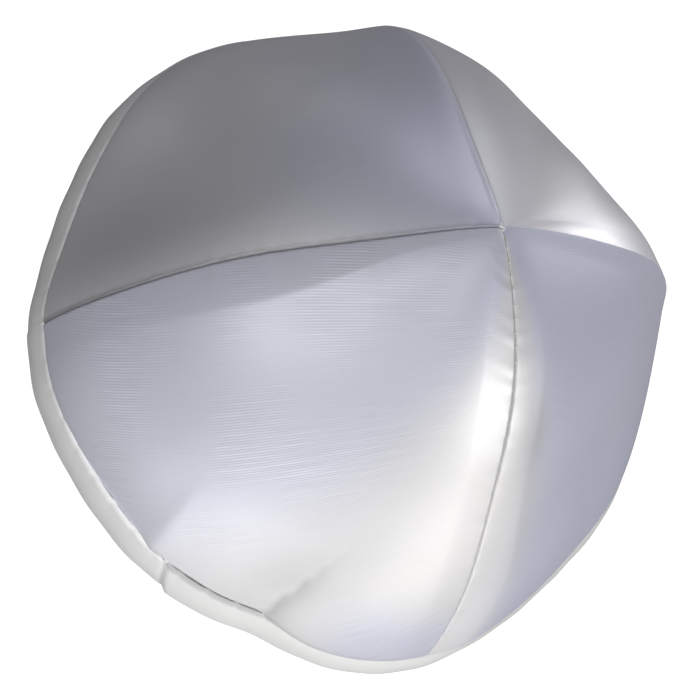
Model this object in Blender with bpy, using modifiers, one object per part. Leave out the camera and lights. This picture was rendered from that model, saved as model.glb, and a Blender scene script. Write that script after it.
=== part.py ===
"""A kippah: a skullcap of four satin gores with a soft binding round the rim.

The cap stands on its rim on the ground plane, with +Z up. The front gore
looks along -Y. All lengths are in metres and all turns are in degrees
counter-clockwise from +X, seen from above.

The cap has one outline at each height. An outline runs through the four seams,
and between two seams each gore is an arc, with a few waves at its lower edge
and a few soft dents. Every piece is turned as a plain round ring first, and
then each of its points is moved onto the outline at its own height.
"""

import math
from collections import namedtuple
from functools import lru_cache

import bmesh
import bpy
from mathutils import Vector

# Sizes of the whole cap
RIM_RADIUS = 0.0825
CROWN_HEIGHT = 0.0758

# Sizes of the cloth: a gore is satin on its backing, the tape is satin alone
GORE_THICKNESS = 0.0012
TAPE_THICKNESS = 0.0010
BINDING_HEIGHT = 0.0087
BINDING_INNER_HEIGHT = 0.0078
BINDING_CORNER = 0.0012
ROLL_HEIGHT = 0.0060

# Gaps between pieces that the stitches hold together
SEAM_GAP = 0.0003
TAPE_GAP = 0.0004

# How finely the cap is divided. Points above the crown share are the crown itself.
COLUMNS = 14
ROWS = 16
CORNER_STEPS = 3
CROWN_SHARE = 0.99999

# A seam stands in an upright plane through the crown. Its reach is a share of
# the rim's radius, which shrinks with height as (1 - height ** shoulder) ** slope.
Seam = namedtuple("Seam", "turn reach shoulder slope")
SEAMS = {
    "front_left": Seam(225.0, 1.005, 1.62, 0.67),
    "front_right": Seam(318.5, 0.995, 1.32, 0.475),
    "back_right": Seam(407.5, 0.990, 2.01, 0.57),
    "back_left": Seam(489.0, 1.000, 2.36, 0.93),
}

# A gore's bulge is how far its arc stands out, as a share of the straight
# distance between its two seams, at four even steps from the rim to the crown.
# Its waves are shares of the rim's radius, at even steps across the lower edge.
Gore = namedtuple("Gore", "name first last bulge waves colour")
GORES = (
    Gore(
        name="panel_front",
        first="front_left",
        last="front_right",
        bulge=(0.204, 0.188, 0.148, 0.120),
        waves=(0.015, 0.011, 0.006, 0.009, -0.005, -0.024, -0.002, 0.008),
        colour=(0.80, 0.80, 0.84),
    ),
    Gore(
        name="panel_right",
        first="front_right",
        last="back_right",
        bulge=(0.183, 0.104, 0.152, 0.120),
        waves=(-0.022, -0.022, 0.005, 0.009),
        colour=(0.74, 0.75, 0.81),
    ),
    Gore(
        name="panel_back",
        first="back_right",
        last="back_left",
        bulge=(0.211, 0.157, 0.217, 0.109),
        waves=(0.0, 0.0),
        colour=(0.72, 0.73, 0.78),
    ),
    Gore(
        name="panel_left",
        first="back_left",
        last="front_left",
        bulge=(0.213, 0.110, 0.158, 0.120),
        waves=(0.014, 0.029, 0.015, -0.016, -0.031),
        colour=(0.68, 0.68, 0.73),
    ),
)
WAVE_FADE = 0.2

# A dent's place and size are shares of its gore: across from the first seam to
# the last, and up from the rim to the crown. Its depth is a share of the rim's radius.
Dent = namedtuple("Dent", "gore across up width height depth")
DENTS = (
    Dent("panel_front", 0.71, 0.17, 0.07, 0.12, 0.015),
    Dent("panel_left", 0.75, 0.38, 0.20, 0.15, 0.026),
    Dent("panel_back", 0.30, 0.45, 0.20, 0.25, 0.059),
    Dent("panel_back", 0.65, 0.45, 0.20, 0.25, 0.049),
    Dent("panel_right", 0.40, 0.32, 0.20, 0.15, 0.014),
)

BINDING_COLOUR = (0.78, 0.78, 0.83)
SATIN_ROUGHNESS = 0.38


def read_along(values, share):
    """A smooth curve through evenly spaced values, read at a share from 0 to 1."""
    place = share * (len(values) - 1)
    index = min(int(place), len(values) - 2)
    part = place - index
    before = values[max(index - 1, 0)]
    here = values[index]
    ahead = values[index + 1]
    after = values[min(index + 2, len(values) - 1)]
    straight = (ahead - before) * part
    bend = (2 * before - 5 * here + 4 * ahead - after) * part ** 2
    twist = (3 * here - before - 3 * ahead + after) * part ** 3
    return here + 0.5 * (straight + bend + twist)


def ease(share):
    """0 before 0 and 1 after 1, with a soft start and end between them."""
    held = min(max(share, 0.0), 1.0)
    return held * held * (3 - 2 * held)


def seam_point(seam, share):
    """Where a seam is at a share of the crown's height, as a point on the ground."""
    reach = seam.reach * RIM_RADIUS * (1 - share ** seam.shoulder) ** seam.slope
    turn = math.radians(seam.turn)
    return Vector((reach * math.cos(turn), reach * math.sin(turn), 0))


def relief(gore, across, up):
    """How far the waves and dents move a gore's cloth outwards at one place."""
    waves = (0.0,) + gore.waves + (0.0,)
    outward = read_along(waves, across) * math.exp(-((up / WAVE_FADE) ** 2))
    hold = 4 * across * (1 - across)
    for dent in DENTS:
        if dent.gore == gore.name:
            sideways = (across - dent.across) / dent.width
            upwards = (up - dent.up) / dent.height
            outward -= hold * dent.depth * math.exp(-(sideways ** 2) - upwards ** 2)
    return outward * RIM_RADIUS


@lru_cache(maxsize=None)
def outline(height):
    """The cap's outer outline at one height, with COLUMNS points for each gore."""
    share = min(height / CROWN_HEIGHT, 1.0)
    up = math.asin(share) / (math.pi / 2)
    points = []
    for gore in GORES:
        start = seam_point(SEAMS[gore.first], share)
        chord = seam_point(SEAMS[gore.last], share) - start
        forward = chord.normalized()
        outward = Vector((forward.y, -forward.x, 0))
        half_arc = 2 * math.atan(2 * read_along(gore.bulge, up))
        arc_radius = chord.length / (2 * math.sin(half_arc))
        for column in range(COLUMNS):
            across = column / COLUMNS
            turn = half_arc * (2 * across - 1)
            sideways = chord.length / 2 + arc_radius * math.sin(turn)
            bulge = arc_radius * (math.cos(turn) - math.cos(half_arc))
            bulge += relief(gore, across, up)
            points.append(start + forward * sideways + outward * bulge)
    return points


def inside_outline(height, column, depth):
    """A point of the outline at one height, moved inwards by a depth."""
    points = outline(height)
    along = points[(column + 1) % len(points)] - points[column - 1]
    inward = Vector((-along.y, along.x, 0)).normalized()
    place = points[column] + inward * depth
    return Vector((place.x, place.y, height))


def turned_on_cap(name, profile):
    """Turn a profile of (depth, height) pairs round the cap, then fit it to the outline."""
    bm = bmesh.new()
    chain = [bm.verts.new((RIM_RADIUS - depth, 0, height)) for depth, height in profile]
    edges = [bm.edges.new(pair) for pair in zip(chain, chain[1:])]
    columns = COLUMNS * len(GORES)
    bmesh.ops.spin(
        bm,
        geom=chain + edges,
        cent=(0, 0, 0),
        axis=(0, 0, 1),
        angle=math.tau,
        steps=columns,
        use_merge=True,
    )
    for vertex in bm.verts:
        depth = RIM_RADIUS - math.hypot(vertex.co.x, vertex.co.y)
        turn = math.atan2(vertex.co.y, vertex.co.x) / math.tau
        vertex.co = inside_outline(vertex.co.z, round(turn * columns) % columns, depth)
    crown = [vertex for vertex in bm.verts if vertex.co.z > CROWN_HEIGHT * CROWN_SHARE]
    bmesh.ops.pointmerge(bm, verts=crown, merge_co=(0, 0, CROWN_HEIGHT))
    bmesh.ops.recalc_face_normals(bm, faces=bm.faces)
    mesh = bpy.data.meshes.new(name)
    bm.to_mesh(mesh)
    bm.free()
    return mesh


def gore_profile():
    """The cloth from under the tape up to the crown: it comes out above the tape."""
    above_tape = BINDING_HEIGHT + TAPE_GAP
    heights = [0.0, BINDING_CORNER, above_tape / 2]
    lowest = math.asin(above_tape / CROWN_HEIGHT)
    for row in range(ROWS + 1):
        heights.append(CROWN_HEIGHT * math.sin(lowest + (math.pi / 2 - lowest) * row / ROWS))
    tucked = TAPE_THICKNESS + TAPE_GAP
    return [(tucked * (1 - ease((height - above_tape) / ROLL_HEIGHT)), height) for height in heights]


def binding_profile():
    """The tape's outer face: down the outside, round under the rim and up the inside."""
    width = GORE_THICKNESS + 2 * TAPE_GAP + 2 * TAPE_THICKNESS
    outer = []
    for step in range(CORNER_STEPS + 1):
        turn = math.pi / 2 * step / CORNER_STEPS
        depth = BINDING_CORNER * (1 - math.cos(turn))
        height = BINDING_CORNER * (1 - math.sin(turn))
        outer.append((depth, height))
    inner = [(width - depth, height) for depth, height in reversed(outer)]
    middle = (BINDING_HEIGHT + TAPE_GAP) / 2
    outer = [(0.0, BINDING_HEIGHT), (0.0, middle)] + outer
    return outer + inner + [(width, middle), (width, BINDING_INNER_HEIGHT)]


def satin(name, colour):
    """The satin of one piece."""
    material = bpy.data.materials.new(name)
    material.use_nodes = True
    shader = material.node_tree.nodes["Principled BSDF"]
    shader.inputs["Base Color"].default_value = (*colour, 1.0)
    shader.inputs["Roughness"].default_value = SATIN_ROUGHNESS
    shader.inputs["Metallic"].default_value = 0.0
    return material


def add_piece(name, mesh, colour, pieces, stand):
    """Put a mesh in the scene as one named piece of the cap."""
    piece = bpy.data.objects.new(name, mesh)
    piece.parent = stand
    pieces.objects.link(piece)
    mesh.materials.append(satin(name + "_satin", colour))
    mesh.shade_smooth()
    return piece


def add_thickness(piece, thickness):
    """Give the cloth its wall, inwards from its outer face."""
    solidify = piece.modifiers.new("thickness", "SOLIDIFY")
    solidify.thickness = thickness
    solidify.offset = -1
    solidify.use_even_offset = True


def add_wedge(gore, cutters, stand):
    """The upright wedge between a gore's two seams, half a seam gap inside each of them."""
    first = math.radians(SEAMS[gore.first].turn)
    last = math.radians(SEAMS[gore.last].turn)
    if last < first:
        last += math.tau
    middle = (first + last) / 2
    set_back = SEAM_GAP / 2 / math.sin((last - first) / 2)
    tip = Vector((math.cos(middle), math.sin(middle), 0)) * set_back
    tip.z = TAPE_THICKNESS + TAPE_GAP
    reach = 3 * RIM_RADIUS
    bm = bmesh.new()
    corners = [bm.verts.new(tip)]
    for turn in (first, last):
        corners.append(bm.verts.new(tip + Vector((math.cos(turn), math.sin(turn), 0)) * reach))
    floor = bm.faces.new(reversed(corners))
    lifted = bmesh.ops.extrude_face_region(bm, geom=[floor])["geom"]
    roof = [part for part in lifted if isinstance(part, bmesh.types.BMVert)]
    bmesh.ops.translate(bm, verts=roof, vec=(0, 0, 2 * CROWN_HEIGHT))
    bmesh.ops.recalc_face_normals(bm, faces=bm.faces)
    mesh = bpy.data.meshes.new(gore.name + "_wedge")
    bm.to_mesh(mesh)
    bm.free()
    wedge = bpy.data.objects.new(gore.name + "_wedge", mesh)
    wedge.parent = stand
    wedge.hide_render = True
    wedge.display_type = "WIRE"
    cutters.objects.link(wedge)
    return wedge


def make_gore(gore, pieces, cutters, stand):
    """One gore: the whole crown with its wall, trimmed to the wedge between two seams."""
    piece = add_piece(gore.name, turned_on_cap(gore.name, gore_profile()), gore.colour, pieces, stand)
    add_thickness(piece, GORE_THICKNESS)
    trim = piece.modifiers.new("trim at the seams", "BOOLEAN")
    trim.operation = "INTERSECT"
    trim.solver = "EXACT"
    trim.object = add_wedge(gore, cutters, stand)


def make_binding(pieces, stand):
    """The tape round the rim, folded over the lower edge of the gores."""
    mesh = turned_on_cap("rim_binding", binding_profile())
    piece = add_piece("rim_binding", mesh, BINDING_COLOUR, pieces, stand)
    add_thickness(piece, TAPE_THICKNESS)


def clear_scene():
    """Start from an empty scene."""
    for item in list(bpy.data.objects):
        bpy.data.objects.remove(item, do_unlink=True)


def main():
    clear_scene()
    pieces = bpy.data.collections.new("kippah_skullcap")
    cutters = bpy.data.collections.new("cutters")
    bpy.context.scene.collection.children.link(pieces)
    bpy.context.scene.collection.children.link(cutters)

    # The stand moves the cap so that the middle of its widest outline is over the origin
    widest = outline(BINDING_CORNER)
    stand = bpy.data.objects.new("stand", None)
    stand.location.x = -(min(point.x for point in widest) + max(point.x for point in widest)) / 2
    stand.location.y = -(min(point.y for point in widest) + max(point.y for point in widest)) / 2
    pieces.objects.link(stand)

    for gore in GORES:
        make_gore(gore, pieces, cutters, stand)
    make_binding(pieces, stand)


main()
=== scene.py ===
# %% [markdown]
# # A white satin kippah
#
# This notebook dresses a kippah, a skullcap of four satin gores that meet at a
# point, with a soft tape folded over the rim. The plain solids of the cap are
# loaded first and are never moved. Each of them is then replaced by a fine
# mesh of the same size and place, with seams, folds and stitches.
#
# Lengths are in metres, with +Z up, and the front gore looks along -Y.

# %% Load the plain solids
import math
from collections import namedtuple

import bmesh
import bpy
import numpy as np
from mathutils import Matrix, Vector


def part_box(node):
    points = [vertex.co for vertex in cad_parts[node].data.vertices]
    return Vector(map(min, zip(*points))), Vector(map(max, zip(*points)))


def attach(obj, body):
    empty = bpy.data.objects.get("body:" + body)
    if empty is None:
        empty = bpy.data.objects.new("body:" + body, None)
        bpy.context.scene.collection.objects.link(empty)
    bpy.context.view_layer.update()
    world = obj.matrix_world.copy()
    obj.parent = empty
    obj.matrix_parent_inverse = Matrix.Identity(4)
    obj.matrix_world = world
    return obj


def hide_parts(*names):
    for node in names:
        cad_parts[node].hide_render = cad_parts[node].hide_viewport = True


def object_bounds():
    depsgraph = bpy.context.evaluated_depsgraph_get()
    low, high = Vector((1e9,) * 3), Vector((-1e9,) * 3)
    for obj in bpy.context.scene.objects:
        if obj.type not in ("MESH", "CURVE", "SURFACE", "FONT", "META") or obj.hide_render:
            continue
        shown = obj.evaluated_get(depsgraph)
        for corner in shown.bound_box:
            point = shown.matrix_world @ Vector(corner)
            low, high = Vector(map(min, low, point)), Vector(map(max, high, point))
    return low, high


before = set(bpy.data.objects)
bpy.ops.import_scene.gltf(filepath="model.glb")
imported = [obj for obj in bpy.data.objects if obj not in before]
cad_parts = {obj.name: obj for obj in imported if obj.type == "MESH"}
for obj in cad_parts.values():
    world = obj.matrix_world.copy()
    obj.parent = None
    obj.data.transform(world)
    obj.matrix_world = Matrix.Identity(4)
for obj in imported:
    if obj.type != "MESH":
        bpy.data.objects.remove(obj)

CAD_LOW, CAD_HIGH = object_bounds()
MM = 0.001
print("solids:", sorted(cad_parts))
print("box in mm:", [round(side / MM, 1) for side in CAD_HIGH - CAD_LOW])

# %% [markdown]
# ## The form of the cap
#
# A gored cap has one closed outline at each height. The outline runs through
# the four seams, and between two seams the cloth stands out as an arc. It could
# be sculpted by hand, or subdivided from the plain solids, whose facets would
# still show in the gloss of satin. A formula has no facets, so the same few
# shares that shape the solids are used here, and the sizes come from the solids.
#
# A place on a gore has two shares. "Across" goes from its first seam to its
# last one, counter-clockwise seen from above. "Up" goes from the rim to the
# crown. Sewn cloth is never quite straight, so here each seam also bends by a
# few degrees: its bends are read at even steps from the rim to the crown.

# %% The shares of the form
Seam = namedtuple("Seam", "turn reach shoulder slope bends")
SEAMS = {
    "front_left": Seam(225.0, 1.005, 1.62, 0.67, (0.3, 0.2, -0.3, 1.6, 0.0)),
    "front_right": Seam(318.5, 0.995, 1.32, 0.475, (-0.5, 0.2, -0.9, 0.6, 0.0)),
    "back_right": Seam(407.5, 0.990, 2.01, 0.57, (0.4, 0.0, 0.6, -0.8, 0.0)),
    "back_left": Seam(489.0, 1.000, 2.36, 0.93, (-0.3, -0.9, 0.0, 2.4, 0.0)),
}

Gore = namedtuple("Gore", "name first last bulge waves")
GORES = (
    Gore("panel_front", "front_left", "front_right",
         (0.204, 0.188, 0.148, 0.120),
         (0.0, 0.015, 0.011, 0.006, 0.009, -0.005, -0.024, -0.002, 0.008, 0.0)),
    Gore("panel_right", "front_right", "back_right",
         (0.183, 0.104, 0.152, 0.120),
         (0.0, -0.022, -0.022, 0.005, 0.009, 0.0)),
    Gore("panel_back", "back_right", "back_left",
         (0.211, 0.157, 0.217, 0.109),
         (0.0, 0.0, 0.0)),
    Gore("panel_left", "back_left", "front_left",
         (0.213, 0.110, 0.158, 0.120),
         (0.0, 0.014, 0.029, 0.015, -0.016, -0.031, 0.0)),
)
WAVE_FADE = 0.2

Dent = namedtuple("Dent", "gore across up width height depth")
DENTS = (
    Dent("panel_front", 0.71, 0.17, 0.07, 0.12, 0.015),
    Dent("panel_left", 0.75, 0.38, 0.20, 0.15, 0.026),
    Dent("panel_back", 0.30, 0.45, 0.20, 0.25, 0.059),
    Dent("panel_back", 0.65, 0.45, 0.20, 0.25, 0.049),
    Dent("panel_right", 0.40, 0.32, 0.20, 0.15, 0.014),
)
print("seams:", len(SEAMS), "gores:", len(GORES), "dents:", len(DENTS))

# %% [markdown]
# A few values have to become a soft line. Straight lines between the values
# would be simpler, but each corner would show as a band in glossy satin. So a
# smooth curve is laid through them, and "ease" starts and ends a change softly.
# Dents, swells and patches all have the same round shape, so one helper gives it.

# %% Soft curves and round spots
def ease(share):
    """0 before 0 and 1 after 1, with a soft start and end between them."""
    held = np.clip(share, 0.0, 1.0)
    return held * held * (3 - 2 * held)


def read_along(values, share):
    """A smooth curve through evenly spaced values, read at shares from 0 to 1."""
    values = np.asarray(values, float)
    place = np.asarray(share, float) * (len(values) - 1)
    index = np.minimum(place.astype(int), len(values) - 2)
    part = place - index
    before = values[np.maximum(index - 1, 0)]
    here = values[index]
    ahead = values[index + 1]
    after = values[np.minimum(index + 2, len(values) - 1)]
    straight = (ahead - before) * part
    bend = (2 * before - 5 * here + 4 * ahead - after) * part ** 2
    twist = (3 * here - before - 3 * ahead + after) * part ** 3
    return here + 0.5 * (straight + bend + twist)


def spot_share(spot, across, up):
    """1 in the middle of a round spot on a gore, fading softly to 0 outside it."""
    sideways = (across - spot.across) / spot.width
    upwards = (up - spot.up) / spot.height
    return np.exp(-(sideways ** 2) - upwards ** 2)


print("first wave of the front gore's rim:", round(float(read_along(GORES[0].waves, 0.15)), 4))

# %% [markdown]
# Now the outline can be drawn at any height. Each seam stands in its own upright
# plane and leans in towards the crown. Between two seams the cloth is an arc,
# whose fullness is read from the gore's shares. The alternative is to model one
# gore and turn it four times, but the gores of a soft cap are never alike.

# %% The outline at one height
def seam_points(seam, up):
    """Where a seam is at shares of the way up, in rim radii."""
    height = np.sin(up * math.pi / 2)
    reach = seam.reach * (1 - height ** seam.shoulder) ** seam.slope
    turn = np.radians(seam.turn + read_along(seam.bends, up))
    return np.stack([reach * np.cos(turn), reach * np.sin(turn)], -1)


def relief(gore, across, up):
    """How far the waves and dents move the cloth outwards, in rim radii."""
    outward = read_along(gore.waves, across) * np.exp(-((up / WAVE_FADE) ** 2))
    for dent in DENTS:
        if dent.gore == gore.name:
            hold = 4 * across * (1 - across)
            outward = outward - hold * dent.depth * spot_share(dent, across, up)
    return outward


def form(gore, across, up):
    """Points of the cap's outer form in rim radii, and the arc's length between the seams."""
    start = seam_points(SEAMS[gore.first], up)
    chord = seam_points(SEAMS[gore.last], up) - start
    length = np.linalg.norm(chord, axis=-1)
    forward = chord / length[..., None]
    outward = np.stack([forward[..., 1], -forward[..., 0]], -1)
    half_arc = 2 * np.arctan(2 * read_along(gore.bulge, up))
    arc_radius = length / (2 * np.sin(half_arc))
    turn = half_arc * (2 * across - 1)
    sideways = length / 2 + arc_radius * np.sin(turn)
    bulge = arc_radius * (np.cos(turn) - np.cos(half_arc)) + relief(gore, across, up)
    points = start + forward * sideways[..., None] + outward * bulge[..., None]
    return points, 2 * arc_radius * half_arc


def whole_ring(up, columns):
    """One outline of the cap in rim radii, with the same number of points on each gore."""
    across = np.arange(columns) / columns
    return np.concatenate([form(gore, across, np.full(columns, up))[0] for gore in GORES])


WIDEST = 0.01
unit_rim = whole_ring(WIDEST, 200)
print("a rim with a radius of 1 is this wide and deep:", np.ptp(unit_rim, axis=0).round(2))

# %% [markdown]
# ## The sizes of the cap
#
# The plain solids give the sizes. The crown's height is the top of their box.
# The rim's radius is the box's depth divided by the depth of the outline of a
# cap whose rim has a radius of 1. The middle of that outline is over the origin.

# %% The sizes of the cap
CROWN_HEIGHT = CAD_HIGH.z
BINDING_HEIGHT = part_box("rim_binding")[1].z
GORE_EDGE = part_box("panel_front")[0].z
RIM_RADIUS = (CAD_HIGH.y - CAD_LOW.y) / np.ptp(unit_rim[:, 1])
CENTRE = -RIM_RADIUS * (unit_rim.min(0) + unit_rim.max(0)) / 2
print("rim radius in mm:", round(RIM_RADIUS / MM, 2), "crown in mm:", round(CROWN_HEIGHT / MM, 2))
print("the crown is over", [round(side / MM, 2) for side in CENTRE])

# %% [markdown]
# Two things are asked of the form all the time: where a place of a gore is, and
# which way the cloth faces there. Blender works out normals from a mesh, but
# here they are needed before there is one. So the form is read a hair's breadth
# to each side, and the two directions are crossed.

# %% Places and directions on the cap
HAIR = 1e-4


def up_at(height):
    """The share up a gore at a height in metres."""
    return math.asin(min(height / CROWN_HEIGHT, 1.0)) / (math.pi / 2)


def surface(gore, across, up):
    """Points of the cap's outer form in metres."""
    flat, arc = form(gore, across, up)
    height = np.sin(up * math.pi / 2)[..., None] * CROWN_HEIGHT
    return np.concatenate([flat * RIM_RADIUS + CENTRE, height], -1), arc * RIM_RADIUS


def unit(vectors):
    """Vectors of length 1."""
    return vectors / np.maximum(np.linalg.norm(vectors, axis=-1, keepdims=True), 1e-12)


def surface_normals(gore, across, up):
    """Which way the cap's outer form faces."""
    ahead = surface(gore, np.minimum(across + HAIR, 1), up)[0]
    behind = surface(gore, np.maximum(across - HAIR, 0), up)[0]
    above = surface(gore, across, up + HAIR)[0]
    below = surface(gore, across, up - HAIR)[0]
    return unit(np.cross(ahead - behind, above - below))


middle = surface_normals(GORES[0], np.array([0.5]), np.array([0.5]))[0]
print("halfway up, the front gore faces", middle.round(2))

# %% [markdown]
# ## The camera
#
# The photo looks down on the front gore, here from 37 cm away, and the camera is
# rolled so that the cap leans to the left. A camera could be aimed with a Track
# To constraint, but the roll is simpler to set with the three directions of its
# own frame. The length of the lens goes with a sensor 36 mm wide.

# %% The camera
CAMERA_AZIMUTH = -10.15
CAMERA_ELEVATION = 58.7
CAMERA_ROLL = 52.27
CAMERA_DISTANCE = 0.3716
CAMERA_LENS = 84.2
CAMERA_SENSOR = 36
CAMERA_AIM = Vector((CENTRE[0] - 2.75 * MM, CENTRE[1] - 20.1 * MM, 30 * MM))


def make_camera():
    """The camera at the photo's angle and roll."""
    azimuth = math.radians(CAMERA_AZIMUTH)
    elevation = math.radians(CAMERA_ELEVATION)
    roll = math.radians(CAMERA_ROLL)
    back = Vector((math.sin(azimuth) * math.cos(elevation),
                   -math.cos(azimuth) * math.cos(elevation),
                   math.sin(elevation)))
    level = Vector((0, 0, 1)).cross(back).normalized()
    upright = back.cross(level)
    right = level * math.cos(roll) + upright * math.sin(roll)
    up = upright * math.cos(roll) - level * math.sin(roll)
    data = bpy.data.cameras.new("camera")
    data.sensor_width = CAMERA_SENSOR
    data.lens = CAMERA_LENS
    data.clip_start = 0.01
    camera = bpy.data.objects.new("camera", data)
    camera.matrix_world = Matrix.Translation(CAMERA_AIM + back * CAMERA_DISTANCE) @ Matrix(
        (right, up, back)).transposed().to_4x4()
    bpy.context.scene.collection.objects.link(camera)
    bpy.context.scene.camera = camera
    return camera


camera = make_camera()
print("camera at", [round(side, 3) for side in camera.matrix_world.translation])

# %% [markdown]
# ## The satin
#
# Satin has long floating threads, so it is smooth and glossy, with faint broken
# lines along the weft. A picture of cloth could be wrapped round the cap, but it
# blurs close up and carries its own light. Nodes stay sharp at any distance, so
# two node groups make what every satin piece shares. Both need many small sums,
# and one helper adds a Math node in a line. Another names a group's sockets.

# %% Helpers for node groups
def new_group(name, inputs, outputs):
    """An empty shader group with named sockets, and its first and last node."""
    group = bpy.data.node_groups.new(name, "ShaderNodeTree")
    for label, kind, value in inputs:
        socket = group.interface.new_socket(label, in_out="INPUT", socket_type=kind)
        if value is not None:
            socket.default_value = value
    for label, kind in outputs:
        group.interface.new_socket(label, in_out="OUTPUT", socket_type=kind)
    return group, group.nodes.new("NodeGroupInput"), group.nodes.new("NodeGroupOutput")


def math_node(tree, operation, first, second=None):
    """A Math node whose inputs are sockets or numbers; returns its output."""
    node = tree.nodes.new("ShaderNodeMath")
    node.operation = operation
    for socket, value in zip(node.inputs, (first, second)):
        if value is None:
            continue
        if isinstance(value, (int, float)):
            socket.default_value = value
        else:
            tree.links.new(value, socket)
    return node.outputs[0]


# %% [markdown]
# The first group draws the weft on the cloth as it lies flat. A sine wave across
# the threads gives even lines, and a noise stretched along them breaks them up,
# because a floating thread shows for a centimetre or so and then dives under. A
# broader noise lets the lines come and go in patches. A Wave texture would be
# quicker to set up, but its lines run on without a break.

# %% The group for thread lines
LINE_PITCH = 0.53 * MM
LINE_LENGTH = 12 * MM
BREAK_SCALE = 0.8
BREAK_DETAIL = 1.0
REGION_SCALE = 55.0
REGION_FAINT = 0.42
REGION_CLEAR = 0.62
FAINTEST = 0.2
UNEVENNESS = 0.8
STEADY_RELIEF = 0.3


def make_thread_group():
    """Broken weft lines and fine thread relief on a cloth laid flat."""
    group, start, end = new_group(
        "satin threads",
        (("Cloth", "NodeSocketVector", None), ("Turn", "NodeSocketFloat", 0.0),
         ("Line Pitch", "NodeSocketFloat", LINE_PITCH),
         ("Line Length", "NodeSocketFloat", LINE_LENGTH)),
        (("Lines", "NodeSocketFloat"), ("Relief", "NodeSocketFloat")))
    turned = group.nodes.new("ShaderNodeVectorRotate")
    turned.rotation_type = "Z_AXIS"
    group.links.new(start.outputs["Cloth"], turned.inputs["Vector"])
    group.links.new(start.outputs["Turn"], turned.inputs["Angle"])
    split = group.nodes.new("ShaderNodeSeparateXYZ")
    group.links.new(turned.outputs[0], split.inputs[0])
    along = math_node(group, "DIVIDE", split.outputs["X"], start.outputs["Line Length"])
    aside = math_node(group, "DIVIDE", split.outputs["Y"], start.outputs["Line Pitch"])
    place = group.nodes.new("ShaderNodeCombineXYZ")
    group.links.new(along, place.inputs["X"])
    group.links.new(aside, place.inputs["Y"])
    broken = group.nodes.new("ShaderNodeTexNoise")
    broken.noise_dimensions = "2D"
    broken.inputs["Scale"].default_value = BREAK_SCALE
    broken.inputs["Detail"].default_value = BREAK_DETAIL
    group.links.new(place.outputs[0], broken.inputs["Vector"])
    where = group.nodes.new("ShaderNodeTexNoise")
    where.noise_dimensions = "2D"
    where.inputs["Scale"].default_value = REGION_SCALE
    group.links.new(turned.outputs[0], where.inputs["Vector"])
    region = group.nodes.new("ShaderNodeMapRange")
    region.inputs["From Min"].default_value = REGION_FAINT
    region.inputs["From Max"].default_value = REGION_CLEAR
    group.links.new(where.outputs["Fac"], region.inputs["Value"])
    wave = math_node(group, "SINE", math_node(group, "MULTIPLY", aside, math.tau))
    even = math_node(group, "MULTIPLY", wave, broken.outputs["Fac"])
    uneven = math_node(group, "SUBTRACT", broken.outputs["Fac"], 0.5)
    both = math_node(group, "ADD", even, math_node(group, "MULTIPLY", uneven, UNEVENNESS))
    clear = math_node(group, "ADD", region.outputs[0], FAINTEST)
    lines = math_node(group, "MULTIPLY", both, clear)
    group.links.new(lines, end.inputs["Lines"])
    steady = math_node(group, "MULTIPLY", wave, STEADY_RELIEF)
    group.links.new(math_node(group, "ADD", lines, steady), end.inputs["Relief"])
    return group


THREADS = make_thread_group()
print("thread group:", [item.name for item in THREADS.interface.items_tree])

# %% [markdown]
# The second group gives the colour. The satin is white, but by what it mirrors it
# looks lilac in some places and a neutral white in others. Two whites are mixed by
# a value that each vertex carries, a painted reflection, with a soft cloud on top.
# The weft shows best where the satin is lilac, so the strength of its lines follows
# the same value. A second value, the shade, is painted shade in the seams and the
# creases and painted light and shade in a few patches, darker or paler. A ColorRamp
# could mix the whites too, but a plain Mix keeps them as inputs.

# %% The group for the tint
CLOUD_SCALE = 22.0
CLOUD_DETAIL = 3.0
CLOUD_STRENGTH = 0.5
LINES_IN_COOL = 0.9
LINES_EVERYWHERE = 0.4
SHADE_STRENGTH = -0.35
SATIN_ROUGHNESS = 0.41
CLOUD_ROUGHNESS = 0.2
SHADE_ROUGHNESS = 0.1


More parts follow.
